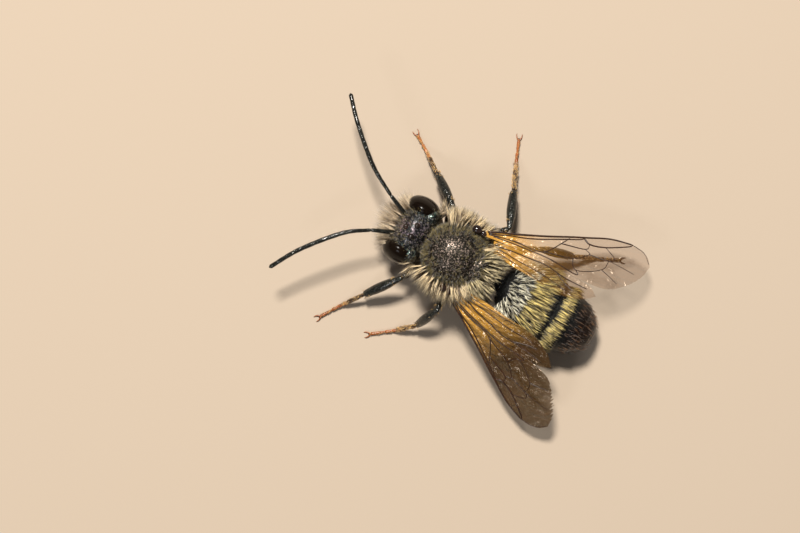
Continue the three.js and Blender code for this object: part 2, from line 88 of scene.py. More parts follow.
def new_finish(name):
    finish = bpy.data.materials.new(name)
    finish.use_nodes = True
    return finish, finish.node_tree, finish.node_tree.nodes["Principled BSDF"]


table_form = bmesh.new()
bmesh.ops.create_grid(table_form, x_segments=2, y_segments=2, size=TABLE_HALF * MM)
table_mesh = bpy.data.meshes.new("table")
table_form.to_mesh(table_mesh)
table = stand("table", table_mesh)
table_paint, _, table_shader = new_finish("table_paint")
table_shader.inputs["Base Color"].default_value = (0.42, 0.34, 0.26, 1)
table_shader.inputs["Roughness"].default_value = 0.8
table_mesh.materials.append(table_paint)


def lamp(name, toward, size, watts, warmth):
    light = stand(name, bpy.data.lights.new(name, "AREA"))
    light.data.shape = "DISK"
    light.data.size = size * MM
    light.data.energy = watts
    light.data.color = warmth
    light.location = PLACE @ (toward.normalized() * LAMP_DISTANCE)
    light.rotation_mode = "QUATERNION"
    light.rotation_quaternion = toward.to_track_quat("Z", "Y")


lamp("key_lamp", UP + view_up * 0.5 - view_right * 0.12, size=45, watts=1.2, warmth=(1, 0.95, 0.88))
lamp("side_lamp", UP * 0.72 - view_up * 0.52 - view_right * 0.445, size=60, watts=0.125,
     warmth=(0.95, 0.97, 1))
room = bpy.data.worlds.new("room")
room.use_nodes = True
walls = room.node_tree.nodes["Background"]
walls.inputs["Color"].default_value = (0.88, 0.88, 0.9, 1)
walls.inputs["Strength"].default_value = 0.16
bpy.context.scene.world = room
bpy.context.scene.view_settings.view_transform = "Standard"

# ---- Body shell ----
# Head, thorax and gaster are one hard black skin. Egg-shaped swellings and a lathed gaster are
# fused and relaxed, and the gaster's plates then rise towards their rear rims. It takes the
# place of the head, thorax and abdomen solids and lies inside them by the coat.
SKULL = ((0, -2.13, 1.97), (1.3, 0.74, 1.12))
VERTEX = ((0, -2.02, 2.45), (1.06, 0.6, 0.56))
CLYPEUS = ((0, -2.62, 1.42), (0.64, 0.4, 0.53))
TEMPLES = [((x, -1.74, 2.1), (0.46, 0.42, 0.72)) for x in (0.86, -0.86)]
NECK = ((0, -1.42, 1.85), (0.5, 0.4, 0.5))
PLEURA = ((0, 0.15, 1.95), (1.33, 1.6, 1.08))
SCUTUM = ((0, -0.12, 2.45), (1.22, 1.28, 0.88))
SCUTELLUM = ((0, 1.1, 2.7), (0.8, 0.48, 0.43))
PROPODEUM = ((0, 1.35, 1.95), (0.97, 0.92, 0.92))
WAIST = ((0, 2.25, 1.85), (0.4, 0.45, 0.4))
GASTER_START, GASTER_END = 2.29, 6.84
GASTER_WIDTH, GASTER_FLATNESS, GASTER_WIDEST = 1.49, 0.8, 0.42
OVAL_START, OVAL_END, OVAL_SHOULDER, OVAL_FULLNESS = -0.03, 1.005, 2.4, 1 / 2.1
GASTER_AXIS_Z, GASTER_DROOP, GASTER_BEND = 1.9, 0.6, 1.4
RIMS = (0.0, 0.19, 0.36, 0.53, 0.71, 0.86, 0.97, 1.0)
RIM_RISE, RIM_SLOPE = 0.055, 1.6
RISE_START, RISE_FADE, RISE_END = 0.04, 0.06, 0.985
VOXEL = 0.045


def gaster_width(t):
    """Half width at a share t of the gaster's length: an oval that is widest before its middle."""
    run = np.where(t < GASTER_WIDEST, GASTER_WIDEST - OVAL_START, OVAL_END - GASTER_WIDEST)
    return GASTER_WIDTH * (1 - (np.abs(t - GASTER_WIDEST) / run) ** OVAL_SHOULDER) ** OVAL_FULLNESS


def gaster_height(y):
    """Height of the gaster's axis, which droops towards its tip."""
    t = np.clip((y - GASTER_START) / (GASTER_END - GASTER_START), 0, 1)
    return GASTER_AXIS_Z - GASTER_DROOP * t ** GASTER_BEND


def swelling(form, middle, half, lean=0.0, rings=24):
    """An egg shape with the half sizes given, leaning to one side."""
    shape = Matrix.Translation(middle) @ Matrix.Rotation(lean, 4, "Y") @ Matrix.Diagonal((*half, 1))
    bmesh.ops.create_uvsphere(form, u_segments=2 * rings, v_segments=rings, radius=1, matrix=shape)


def to_mesh(name, form):
    bmesh.ops.remove_doubles(form, verts=form.verts, dist=1e-5)
    bmesh.ops.recalc_face_normals(form, faces=form.faces)
    mesh = bpy.data.meshes.new(name)
    form.to_mesh(mesh)
    form.free()
    return mesh


def settle(name, mesh, finishes, slot, *nodes):
    """Moves a finished mesh to its place and hands it over as a piece that stands for the nodes."""
    mesh.transform(PLACE)
    for finish in finishes:
        mesh.materials.append(finish)
    mesh.polygons.foreach_set("use_smooth", [True] * len(mesh.polygons))
    piece = stand(name, mesh)
    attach(piece, "root")
    if nodes:
        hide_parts(*nodes)


def unit(vectors):
    return vectors / np.maximum(np.linalg.norm(vectors, axis=-1, keepdims=True), 1e-9)


gaster_form = bmesh.new()
stations = [0, *np.linspace(0.004, 0.996, 60), 1]
profile = []
for t in stations:
    width = float(gaster_width(t)) if 0 < t < 1 else 0
    profile.append(gaster_form.verts.new((width, GASTER_START + (GASTER_END - GASTER_START) * t, 0)))
edges = [gaster_form.edges.new(pair) for pair in zip(profile, profile[1:])]
bmesh.ops.spin(gaster_form, geom=profile + edges, axis=(0, 1, 0), cent=(0, 0, 0),
               angle=2 * math.pi, steps=72, use_merge=True)
for vert in gaster_form.verts:
    vert.co.z = vert.co.z * GASTER_FLATNESS + float(gaster_height(vert.co.y))
shell_form = bmesh.new()
shell_form.from_mesh(to_mesh("gaster", gaster_form))
for middle, half in (SKULL, VERTEX, *TEMPLES, CLYPEUS, NECK, PLEURA, SCUTUM, SCUTELLUM, PROPODEUM, WAIST):
    swelling(shell_form, middle, half)

fusing = stand("fusing", to_mesh("fusing", shell_form))
fuse = fusing.modifiers.new("fuse", "REMESH")
fuse.mode = "VOXEL"
fuse.voxel_size = VOXEL
relax = fusing.modifiers.new("relax", "SMOOTH")
relax.factor = 0.5
relax.iterations = 5
shell = bpy.data.meshes.new_from_object(fusing.evaluated_get(bpy.context.evaluated_depsgraph_get()))
bpy.data.objects.remove(fusing)

spots = np.empty(len(shell.vertices) * 3)
shell.vertices.foreach_get("co", spots)
spots = spots.reshape(-1, 3)
share = (spots[:, 1] - GASTER_START) / (GASTER_END - GASTER_START)
plate = np.clip(np.searchsorted(RIMS, share, side="right") - 1, 0, len(RIMS) - 2)
fore, rear = np.take(RIMS, plate), np.take(RIMS, plate + 1)
rise = RIM_RISE * (np.clip((share - fore) / (rear - fore), 0, 1) ** RIM_SLOPE - 0.5)
rise *= np.clip((share - RISE_START) / RISE_FADE, 0, 1) * (share < RISE_END)
off_axis = (spots[:, 2] - gaster_height(spots[:, 1])) / GASTER_FLATNESS
spots += unit(np.stack([spots[:, 0], np.zeros(len(spots)), off_axis], axis=1)) * rise[:, None]
shell.vertices.foreach_set("co", spots.ravel())
shell.update()

# The skin as numbers, for rooting the coat on it: a middle, a normal and an area per triangle
shell.calc_loop_triangles()
corners = np.empty(len(shell.loop_triangles) * 3, dtype=np.int32)
shell.loop_triangles.foreach_get("vertices", corners)
skin_corners = spots[corners.reshape(-1, 3)]
skin_middles = skin_corners.mean(axis=1)
skin_normals = np.cross(skin_corners[:, 1] - skin_corners[:, 0], skin_corners[:, 2] - skin_corners[:, 0])
skin_areas = np.linalg.norm(skin_normals, axis=1)
skin_normals = unit(skin_normals)


def add(tree, kind, feeds=(), **settings):
    """A node with its settings made, and its inputs linked to other sockets or set to plain values."""
    node = tree.nodes.new(kind)
    for name, value in settings.items():
        setattr(node, name, value)
    for label, value in dict(feeds).items():
        if isinstance(value, bpy.types.NodeSocket):
            tree.links.new(value, node.inputs[label])
        else:
            node.inputs[label].default_value = value
    return node


def group(name, inputs, outputs):
    """A node group with its inputs and outputs, each with its name and what it carries."""
    tree = bpy.data.node_groups.new(name, "ShaderNodeTree")
    for way, sockets in (("INPUT", inputs), ("OUTPUT", outputs)):
        for label, kind in sockets.items():
            tree.interface.new_socket(label, in_out=way, socket_type=f"NodeSocket{kind}")
    return tree, add(tree, "NodeGroupInput"), add(tree, "NodeGroupOutput")


def reckon(tree, operation, *values):
    return add(tree, "ShaderNodeMath", enumerate(values), operation=operation).outputs["Value"]


def spread(tree, value, low, high, to_low=0, to_high=1, **settings):
    """Takes the stretch of a value from low to high over to the stretch from to_low to to_high."""
    feeds = {"Value": value, "From Min": low, "From Max": high, "To Min": to_low, "To Max": to_high}
    return add(tree, "ShaderNodeMapRange", feeds, clamp=True, **settings).outputs["Result"]


def blend(tree, share, first, second):
    """Mixes two colours, each of them a socket or its red, green and blue."""
    first, second = ((*tint, 1) if isinstance(tint, tuple) else tint for tint in (first, second))
    feeds = {"Factor": share, "A": first, "B": second}
    return add(tree, "ShaderNodeMix", feeds, data_type="RGBA").outputs["Result"]


def clouds(tree, scale, detail, **feeds):
    """Noise with the scale given, in clouds per metre along a Vector or per step of a value W."""
    feeds |= {"Scale": scale, "Detail": detail}
    kind = "1D" if "W" in feeds else "3D"
    return add(tree, "ShaderNodeTexNoise", feeds, noise_dimensions=kind).outputs["Fac"]


def emboss(tree, shader, height, depth):
    """Bumps the surface by a height of 0 to 1, where 1 stands for depth in millimetres."""
    bump = add(tree, "ShaderNodeBump", {"Strength": 1, "Distance": depth * MM, "Height": height})
    tree.links.new(bump.outputs["Normal"], shader.inputs["Normal"])


# Shell surface: punched pits of one size, each facet between them a shade of its own; some facets
# are lighter, partly the metal's own tint and partly painted glints
pitted, pit_in, pit_out = group(
    "pitted_shell", {"Pits per mm": "Float", "Pit share": "Float"},
    {"Height": "Float", "Shade": "Float", "Gloss": "Float", "Glint fleck": "Float", "Hue": "Float"})
where = add(pitted, "ShaderNodeTexCoord").outputs["Object"]
pits_per_metre = reckon(pitted, "MULTIPLY", pit_in.outputs["Pits per mm"], 1 / MM)
cells = add(pitted, "ShaderNodeTexVoronoi", {"Vector": where, "Scale": pits_per_metre}, feature="F1")
facet = add(pitted, "ShaderNodeSeparateColor", {"Color": cells.outputs["Color"]})
for label, value in {
    "Height": spread(pitted, cells.outputs["Distance"], 0, pit_in.outputs["Pit share"],
                     interpolation_type="SMOOTHSTEP"),
    "Shade": spread(pitted, clouds(pitted, 900, 3, Vector=where), 0.3, 0.7),
    "Gloss": spread(pitted, clouds(pitted, 16000, 4, Vector=where), 0.25, 0.75),
    # Painted glints: about a third of the facets get a lighter tint, whatever the light
    "Glint fleck": spread(pitted, facet.outputs["Red"], 0.66, 1),
    "Hue": facet.outputs["Green"],
}.items():
    pitted.links.new(value, pit_out.inputs[label])


def chitin(name, dark, light, glint_fleck, gloss, pits, pit_share, depth, metallic=0.0):
    """Shell finish: clouds of two shades, partly painted glints on some facets, pits as deep as depth."""
    finish, tree, shader = new_finish(name)
    shader.inputs["Metallic"].default_value = metallic
    feeds = {"Pits per mm": pits, "Pit share": pit_share}
    surface = add(tree, "ShaderNodeGroup", feeds, node_tree=pitted).outputs
    plain = blend(tree, surface["Shade"], dark, light)
    # Lighter tint on the flecked facets: partly the metal's own, partly painted glints
    tree.links.new(blend(tree, surface["Glint fleck"], plain, glint_fleck), shader.inputs["Base Color"])
    tree.links.new(spread(tree, surface["Gloss"], 0, 1, *gloss), shader.inputs["Roughness"])
    emboss(tree, shader, surface["Height"], depth)
    return finish


# One finish that changes along the body: the head greenish black with painted glints, lilac in
# the middle and teal at the sides, the thorax bronze black, the gaster black with a reddish tip
HEAD_END, THORAX_END, TIP_START = -1.45, 1.9, 5.9
MIDDLE_HALF, MIDDLE_FADE_END = 0.25, 0.85
# Its third colour is the thorax's pinkish painted glint on the flecked facets
body_shell = chitin("body_shell", (0.006, 0.005, 0.003), (0.018, 0.014, 0.008), (0.25, 0.19, 0.155),
                    gloss=(0.26, 0.42), pits=21, pit_share=0.6, depth=0.013, metallic=0.7)
tree = body_shell.node_tree
shader = tree.nodes["Principled BSDF"]
surface = tree.nodes["Group"].outputs
along = add(tree, "ShaderNodeSeparateXYZ", {"Vector": add(tree, "ShaderNodeTexCoord").outputs["Object"]})


def behind(y, soft):
    edge = (PLACE @ Vector((0, y, 0))).y
    return spread(tree, along.outputs["Y"], edge - soft * MM, edge + soft * MM)


past_head, past_thorax, on_tip = behind(HEAD_END, 0.2), behind(THORAX_END, 0.2), behind(TIP_START, 0.25)
aside = reckon(tree, "ABSOLUTE", reckon(tree, "SUBTRACT", along.outputs["X"], PLACE.translation.x))
# Painted sheen: the head's glints are lilac along its middle and teal towards the eyes
lilac_share = reckon(tree, "ADD", spread(tree, aside, MIDDLE_HALF * MM, MIDDLE_FADE_END * MM, 0.6, 0),
                     spread(tree, surface["Hue"], 0, 1, 0, 0.4))
head_glint_fleck = blend(tree, lilac_share, (0.08, 0.19, 0.14), (0.54, 0.38, 0.45))
head = blend(tree, surface["Shade"], (0.005, 0.007, 0.008), (0.014, 0.014, 0.015))
head = blend(tree, surface["Glint fleck"], head, head_glint_fleck)
thorax = shader.inputs["Base Color"].links[0].from_socket
gaster = blend(tree, surface["Glint fleck"], (0.006, 0.006, 0.006), (0.035, 0.037, 0.032))
tip = blend(tree, surface["Shade"], (0.005, 0.002, 0.001), (0.016, 0.005, 0.002))
colour = blend(tree, past_thorax, blend(tree, past_head, head, thorax), gaster)
tree.links.new(blend(tree, on_tip, colour, tip), shader.inputs["Base Color"])
roughness = shader.inputs["Roughness"].links[0].from_socket
smoother_head = reckon(tree, "MULTIPLY", roughness, spread(tree, past_head, 0, 1, 0.62, 1))
tree.links.new(smoother_head, shader.inputs["Roughness"])
shallower_head = reckon(tree, "MULTIPLY", surface["Height"], spread(tree, past_head, 0, 1, 0.7, 1))
tree.links.new(shallower_head, tree.nodes["Bump"].inputs["Height"])
lacquer = reckon(tree, "ADD", spread(tree, past_head, 0, 1, 0.28, 0),
                 spread(tree, past_thorax, 0, 1, 0, 0.2))
tree.links.new(lacquer, shader.inputs["Coat Weight"])
shader.inputs["Coat Roughness"].default_value = 0.36
settle("body", shell, [body_shell], "cuticle", "head", "thorax", "abdomen")

# ---- Eyes ----
# Large dark brown ovals on the sides of the head, smooth and glossy with very fine facets,
# each set in its socket in the head.
EYE_MIDDLE, EYE_HALF, EYE_LEAN = (1.1, -2.2, 2.02), (0.44, 0.73, 0.86), -0.2
eye_gloss = chitin("eye_gloss", (0.003, 0.0018, 0.001), (0.006, 0.0034, 0.0018), (0.008, 0.004, 0.002),
                   gloss=(0.15, 0.22), pits=34, pit_share=0.9, depth=0.0008)
eye_gloss.node_tree.nodes["Principled BSDF"].inputs["IOR"].default_value = 1.2
for side, sign in SIDES.items():
    eye_form = bmesh.new()
    swelling(eye_form, (EYE_MIDDLE[0] * sign, *EYE_MIDDLE[1:]), EYE_HALF, EYE_LEAN * sign, rings=40)
    settle(f"eye_{side}_ball", to_mesh("eye", eye_form), [eye_gloss], "eye", f"eye_{side}")

# ---- Ocelli ----
# Three small glassy beads in a triangle on top of the head, each sunk a little into the skin
# at its place.
OCELLI = ((0, -2.46), (0.26, -2.08), (-0.26, -2.08))
OCELLUS_HALF, OCELLUS_SINK, TOP_PULL = (0.13, 0.13, 0.12), 0.015, 0.05
bead_gloss = chitin("bead_gloss", (0.010, 0.006, 0.005), (0.022, 0.012, 0.009), (0.03, 0.016, 0.012),
                    gloss=(0.08, 0.14), pits=5, pit_share=0.2, depth=0.0)
bead_form = bmesh.new()
for x, y in OCELLI:
    # The nearest spot of the skin, where a higher one counts as a little nearer
    away = np.hypot(skin_middles[:, 0] - x, skin_middles[:, 1] - y)
    near = np.argmin(away - TOP_PULL * skin_middles[:, 2])
    swelling(bead_form, (x, y, float(skin_middles[near, 2]) - OCELLUS_SINK), OCELLUS_HALF, rings=12)
settle("ocelli", to_mesh("ocelli", bead_form), [bead_gloss], "eye")

# ---- Mandibles ----
# Two short curved jaws, hinged at the cheeks, with their tips close together below the face.
# Each is swept from a ring and narrows to a blunt tip.
MANDIBLE = ((0.72, -2.2, 1.15), (0.66, -2.62, 0.86), (0.2, -2.94, 0.72))
JAW_HALF, JAW_TIP_WIDE, JAW_TIP_THICK = 0.24, 0.09, 0.12


def smooth_line(points, count):
    """A smooth curve through all the points, as count places from the first to the last."""
    points = [Vector(p) for p in points]
    padded = [2 * points[0] - points[1], *points, 2 * points[-1] - points[-2]]
    line = []
    for i in range(count):
        place = i / (count - 1) * (len(points) - 1)
        span = min(int(place), len(points) - 2)
        t = place - span
        a, b, c, d = padded[span:span + 4]
        line.append(0.5 * ((2 * b) + (c - a) * t + (2 * a - 5 * b + 4 * c - d) * t * t
                           + (3 * b - a - 3 * c + d) * t ** 3))
    return line


def sweep(form, line, wide, thick, facing=UP, sides=16, tint=0):
    """Extrudes a ring along a line; wide and thick give its half sizes at each place."""
    def station(i):
        ahead = (line[min(i + 1, len(line) - 1)] - line[max(i - 1, 0)]).normalized()
        across = ahead.cross(facing).normalized()
        frame_here = Matrix((across, ahead.cross(across), ahead)).transposed().to_4x4()
        return Matrix.Translation(line[i]) @ frame_here @ Matrix.Diagonal((wide[i], thick[i], 1, 1))

    start = bmesh.ops.create_circle(form, cap_ends=True, segments=sides, radius=1, matrix=station(0))
    ring = list({edge for vert in start["verts"] for edge in vert.link_edges})
    for i in range(1, len(line)):
        grown = bmesh.ops.extrude_edge_only(form, edges=ring)["geom"]
        verts = [part for part in grown if isinstance(part, bmesh.types.BMVert)]
        bmesh.ops.transform(form, matrix=station(i) @ station(i - 1).inverted(), verts=verts)
        there = set(verts)
        ring = [edge for edge in {e for v in verts for e in v.link_edges} if set(edge.verts) <= there]
        for face in {f for v in verts for f in v.link_faces}:
            face.material_index = tint
    bmesh.ops.edgeloop_fill(form, edges=ring, mat_nr=tint)


# Its third colour is the pale painted speckle of glints on the legs and feelers
black_gloss = chitin("black_gloss", (0.004, 0.004, 0.003), (0.010, 0.010, 0.008), (0.035, 0.038, 0.030),
                     gloss=(0.10, 0.2), pits=19, pit_share=0.55, depth=0.008, metallic=0.2)
black_gloss.node_tree.nodes["Principled BSDF"].inputs["Specular IOR Level"].default_value = 0.65
for side, sign in SIDES.items():
    jaw_form = bmesh.new()
    line = smooth_line([(x * sign, y, z) for x, y, z in MANDIBLE], 14)
    wide, thick = (np.linspace(JAW_HALF, tip_half, len(line)) for tip_half in (JAW_TIP_WIDE, JAW_TIP_THICK))
    sweep(jaw_form, line, wide, thick)
    settle(f"mandible_{side}_jaw", to_mesh("jaw", jaw_form), [black_gloss], "cuticle", f"mandible_{side}")

# ---- Antennae ----
# A straight stalk and, from its elbow, a long whip of eleven close joints, black and glossy.
# Each joint is a little swollen, with a fine groove where two meet.
SCAPE_ROOT = (0.38, -2.6, 2.2)
ANTENNAE = {
    "left": ((0.9, -3.68, 2.62), (1.62, -4.62, 2.85), (3.14, -5.82, 2.8), (4.47, -6.55, 2.5)),
    "right": ((-0.8, -3.7, 2.62), (-1.5, -5.0, 2.85), (-2.68, -6.45, 2.8), (-3.63, -7.39, 2.5)),
}
STALK_HALF, STALK_SWELL, STALK_FLARE, STALK_NECK = 0.066, 0.02, 0.012, 0.03
WHIP_JOINTS, PLACES_PER_JOINT = 11, 10
WHIP_HALF, WHIP_SWELL, WHIP_TAPER, WHIP_ENDS, GROOVE_DEPTH = 0.078, 0.028, 0.012, (0.05, 0.03), 0.14
for side, sign in SIDES.items():
    elbow, *bends = ANTENNAE[side]
    stalk_form = bmesh.new()
    root = Vector((SCAPE_ROOT[0] * sign, *SCAPE_ROOT[1:]))
    line = smooth_line([root, root.lerp(elbow, 0.5), elbow], 18)
    share = np.linspace(0, 1, len(line))
    size = STALK_HALF + STALK_SWELL * np.sin(share * math.pi) + STALK_FLARE * share
    size -= STALK_NECK * (share > 0.97)
    sweep(stalk_form, line, size, size)
    settle(f"antenna_{side}_stalk", to_mesh("stalk", stalk_form), [black_gloss], "cuticle",
           f"antenna_{side}_scape")
    whip_form = bmesh.new()
    line = smooth_line([elbow, *bends], WHIP_JOINTS * PLACES_PER_JOINT + 1)
    share = np.linspace(0, 1, len(line))
    joint = (share * WHIP_JOINTS) % 1
    size = WHIP_HALF + WHIP_SWELL * np.minimum(share * 2.5, 1) - WHIP_TAPER * share
    size *= 1 - GROOVE_DEPTH + GROOVE_DEPTH * np.sin(np.clip(joint, 0.02, 0.98) * math.pi) ** 0.35
    size[share > 0.985] *= 0.7
    size[0], size[-1] = WHIP_ENDS
    sweep(whip_form, line, size, size)
    settle(f"antenna_{side}_whip", to_mesh("whip", whip_form), [black_gloss], "cuticle",
           f"antenna_{side}_flagellum")

# ---- Tegulae ----
# A glossy black scale over each wing root, and behind it the small round knuckle that the
# wing turns on.
TEGULA_MIDDLES = {"left": (1.44, 0.18, 2.66), "right": (-1.44, 0.18, 2.74)}
TEGULA_HALF, TEGULA_LEAN = (0.19, 0.22, 0.17), 0.3
KNUCKLE_MIDDLE, KNUCKLE_HALF = (1.42, 0.49, 2.64), (0.14, 0.15, 0.12)
for side, sign in SIDES.items():
    scale_form = bmesh.new()
    swelling(scale_form, TEGULA_MIDDLES[side], TEGULA_HALF, TEGULA_LEAN * sign)
    swelling(scale_form, (KNUCKLE_MIDDLE[0] * sign, *KNUCKLE_MIDDLE[1:]), KNUCKLE_HALF)
    settle(f"tegula_{side}_scale", to_mesh("scale", scale_form), [bead_gloss], "cuticle", f"tegula_{side}")

# ---- Wings ----
# Four thin amber films, each stretched between brown veins and pleated along them, the fore
# wing overlapping the hind one. A film is a grid drawn out between the wing's front and rear
# edges, and the veins are fine rods that ride on its pleats.
WING_PLACES = {
    "left": ((1.5, 0.55, 2.5), (4.55, 6.99, 1.15), 0.58),
    "right": ((-1.5, 0.6, 2.5), (-4.3, 7.3, 1.45), 0.45),
}
FORE_EDGES = (
    ((0, -0.1), (2.2, -0.26), (4.2, -0.5), (5.4, -0.64), (6.4, -0.48), (7.05, -0.05), (7.2, 0.45)),
    ((0, 0.16), (2.4, 0.84), (4.0, 1.48), (5.2, 1.8), (6.1, 1.56), (6.8, 1.06), (7.2, 0.45)),
)
HIND_EDGES = (
    ((0.35, 0.3), (2.4, 0.76), (3.9, 1.4), (4.6, 1.76), (4.88, 2.18)),
    ((0.35, 0.9), (1.7, 1.58), (3.1, 2.24), (4.2, 2.42), (4.88, 2.18)),
)
FORE_VEINS = (
    (1.7, ((0.05, -0.08), (2.2, -0.24), (4.2, -0.48), (5.4, -0.62), (6.4, -0.47))),
    (0.6, ((6.4, -0.47), (6.95, -0.14), (7.16, 0.36))),
    (1.2, ((0.1, 0.0), (2.2, -0.1), (3.9, -0.32), (4.3, -0.44))),
    (1.3, ((4.3, -0.42), (4.54, -0.2), (5.24, -0.17), (6.2, -0.34), (6.42, -0.45))),
    (1.15, ((0.1, 0.04), (1.3, 0.2), (2.47, 0.5), (3.27, -0.03), (3.64, -0.34))),
    (0.9, ((3.27, -0.03), (4.34, 0.05), (4.54, -0.2))),
    (0.85, ((2.47, 0.5), (3.78, 0.6), (4.52, 0.28), (4.34, 0.05))),
    (0.8, ((4.52, 0.28), (5.37, 0.49), (5.6, 0.3), (5.24, -0.17))),
    (0.75, ((3.78, 0.6), (3.95, 1.13), (5.05, 0.96), (5.37, 0.49))),
    (1.05, ((0.3, 0.1), (2.39, 0.68), (3.92, 1.32), (3.95, 1.13))),
    (0.6, ((5.05, 0.96), (5.5, 1.3), (5.75, 1.5))),
    (0.6, ((5.37, 0.49), (6.0, 0.75), (6.5, 0.95))),
)
HIND_VEINS = (
    (1.1, ((0.4, 0.5), (2.4, 1.0), (3.38, 1.45), (4.5, 1.9))),
    (0.8, ((3.1, 1.3), (3.5, 1.75), (3.88, 2.1))),
    (0.9, ((0.5, 0.66), (2.45, 1.5), (3.6, 2.1))),
    (0.7, ((0.5, 0.8), (1.8, 1.5), (2.6, 1.95))),
)
VEIN_HALF, VEIN_RIDGE, FILM_THICK = 0.028, 1.15, 0.012
WING_LENGTH, FAN_CENTRE = 7.2, (-0.9, -0.35)
PLEATS, PLEAT_RISE, WAVE_RISE, ARCH_RISE, ARCH_WIDTH = 44, 0.034, 0.03, 0.08, 1.8
COLUMNS, ROWS, WORN_FROM, WORN_FADE = 90, 60, 45, 20
FORE_WEAR, HIND_WEAR, HIND_LOWER = {"left": 0.15, "right": 0.03}, 0.03, 0.06
ROOT_AMBER, BLOTCH, STREAK = (0.80, 0.42, 0.07), (0.12, 0.05, 0.015), (0.07, 0.028, 0.008)


def fan_angle(u, v):
    """Direction of a place from the point before the wing's root that the pleats fan out from."""
    return math.atan2(v - FAN_CENTRE[1], u - FAN_CENTRE[0])


def film_height(u, v, low):
    """How far the film stands off the wing's flat: a soft arch, pleats, and waves across them."""
    pleats = PLEAT_RISE * math.sin(fan_angle(u, v) * PLEATS) * min(u / 1.2, 1) * max(0.25, 1 - u / 9)
    waves = WAVE_RISE * math.sin(u * 2.3 + v * 1.7) * min(u / 3, 1)
    return pleats + waves + ARCH_RISE * math.sin(min(max(v / ARCH_WIDTH, 0), 1) * math.pi) - low


def wing_place(side, sign):
    """The wing's own axes: towards its tip, towards its rear edge, and up from its upper face."""
    root, tip, roll = WING_PLACES[side]
    root, tip = Vector(root), Vector(tip)
    ahead = (tip - root).normalized()
    level = UP.cross(ahead).normalized() * sign
    high = ahead.cross(level) * -sign
    rear = level * math.cos(roll) - high * math.sin(roll)
    face = ahead.cross(rear) * sign
    return Matrix.Translation(root) @ Matrix((ahead, rear, face)).transposed().to_4x4()


def amber_film(name, middle_tint, middle_alpha, outer_tint, outer_alpha, crumple):
    """Film finish: golden amber at the root, browner and clearer outwards, with a thin skin's sheen."""
    finish, tree, shader = new_finish(name)
    shader.inputs["Specular IOR Level"].default_value = 0.8
    shader.inputs["Thin Film Thickness"].default_value = 210
    shader.inputs["Thin Film IOR"].default_value = 1.6
    reach = add(tree, "ShaderNodeAttribute", attribute_name="reach").outputs["Fac"]
    fan = add(tree, "ShaderNodeAttribute", attribute_name="fan").outputs["Fac"]
    where = add(tree, "ShaderNodeTexCoord").outputs["Object"]
    patchy, streaky = clouds(tree, 700, 4, Vector=where), clouds(tree, 60, 2, W=fan)
    tint = blend(tree, spread(tree, reach, 0.12, 0.5), ROOT_AMBER, middle_tint)
    tint = blend(tree, spread(tree, reach, 0.35, 0.8), tint, outer_tint)
    tint = blend(tree, spread(tree, patchy, 0.45, 0.75, 0, 0.4), tint, BLOTCH)
    tint = blend(tree, spread(tree, streaky, 0.5, 0.64, 0, 0.6), tint, STREAK)
    tree.links.new(tint, shader.inputs["Base Color"])
    feeds = {"Factor": spread(tree, reach, 0.5, 0.9), "B": outer_alpha,
             "A": spread(tree, reach, 0.1, 0.34, 0.62, middle_alpha)}
    clear = add(tree, "ShaderNodeMix", feeds, data_type="FLOAT")
    tree.links.new(clear.outputs["Result"], shader.inputs["Alpha"])
    tree.links.new(spread(tree, patchy, 0.3, 0.7, 0.1, 0.26), shader.inputs["Roughness"])
    emboss(tree, shader, clouds(tree, 3600, 2, Vector=where, Distortion=0.6), crumple)
    return finish


FILMS = {
    # The left films are darker and denser than the right ones: painted shade on the same amber
    "left": amber_film("shade_darkened_film", (0.032, 0.013, 0.001), 0.66, (0.075, 0.038, 0.009), 0.56, crumple=0.13),
    "right": amber_film("amber_film", (0.26, 0.115, 0.016), 0.15, (0.15, 0.055, 0.005), 0.18, crumple=0.07),
}
brown_vein = chitin("brown_vein", (0.014, 0.005, 0.003), (0.028, 0.010, 0.004), (0.06, 0.022, 0.008),
                    gloss=(0.25, 0.45), pits=20, pit_share=0.3, depth=0.002)


def wing(name, node, side, sign, edges, vein_lines, low, wear):
    place = wing_place(side, sign)
    front, rear = (smooth_line([(u, v, 0) for u, v in edge], COLUMNS + 1) for edge in edges)
    for i in range(WORN_FROM, COLUMNS):
        nicks = abs(math.sin(i * 0.67) + 0.6 * math.sin(i * 1.9))
        rear[i] = rear[i].lerp(front[i], wear * min((i - WORN_FROM) / WORN_FADE, 1) * nicks)
    film_form = bmesh.new()
    bmesh.ops.create_grid(film_form, x_segments=COLUMNS, y_segments=ROWS, size=0.5)
    reach = film_form.verts.layers.float.new("reach")
    fan = film_form.verts.layers.float.new("fan")
    for vert in film_form.verts:
        column = round((vert.co.x + 0.5) * COLUMNS)
        here = front[column].lerp(rear[column], vert.co.y + 0.5)
        vert[reach] = here.x / WING_LENGTH
        vert[fan] = fan_angle(here.x, here.y)
        vert.co = place @ Vector((here.x, here.y, film_height(here.x, here.y, low)))
    bmesh.ops.remove_doubles(film_form, verts=film_form.verts, dist=1e-4)
    bmesh.ops.recalc_face_normals(film_form, faces=film_form.faces)
    film_form.normal_update()
    bmesh.ops.solidify(film_form, geom=film_form.faces[:], thickness=FILM_THICK)
    for thick, line in vein_lines:
        path = smooth_line([(u, v, 0) for u, v in line], 12 * (len(line) - 1) + 1)
        path = [place @ Vector((p.x, p.y, film_height(p.x, p.y, low))) for p in path]
        share = np.linspace(0, 1, len(path))
        size = VEIN_HALF * thick * (1 - 0.35 * share)
        size[-1] *= 0.3
        sweep(film_form, path, size, size * VEIN_RIDGE, facing=place.col[2].to_3d(), sides=8, tint=1)
    settle(name, to_mesh(name, film_form), [FILMS[side], brown_vein], "wing", node)


for side, sign in SIDES.items():
    wing(f"forewing_{side}_film", f"forewing_{side}", side, sign, FORE_EDGES, FORE_VEINS, 0, FORE_WEAR[side])
    wing(f"hindwing_{side}_film", f"hindwing_{side}", side, sign, HIND_EDGES, HIND_VEINS, HIND_LOWER,
         HIND_WEAR)

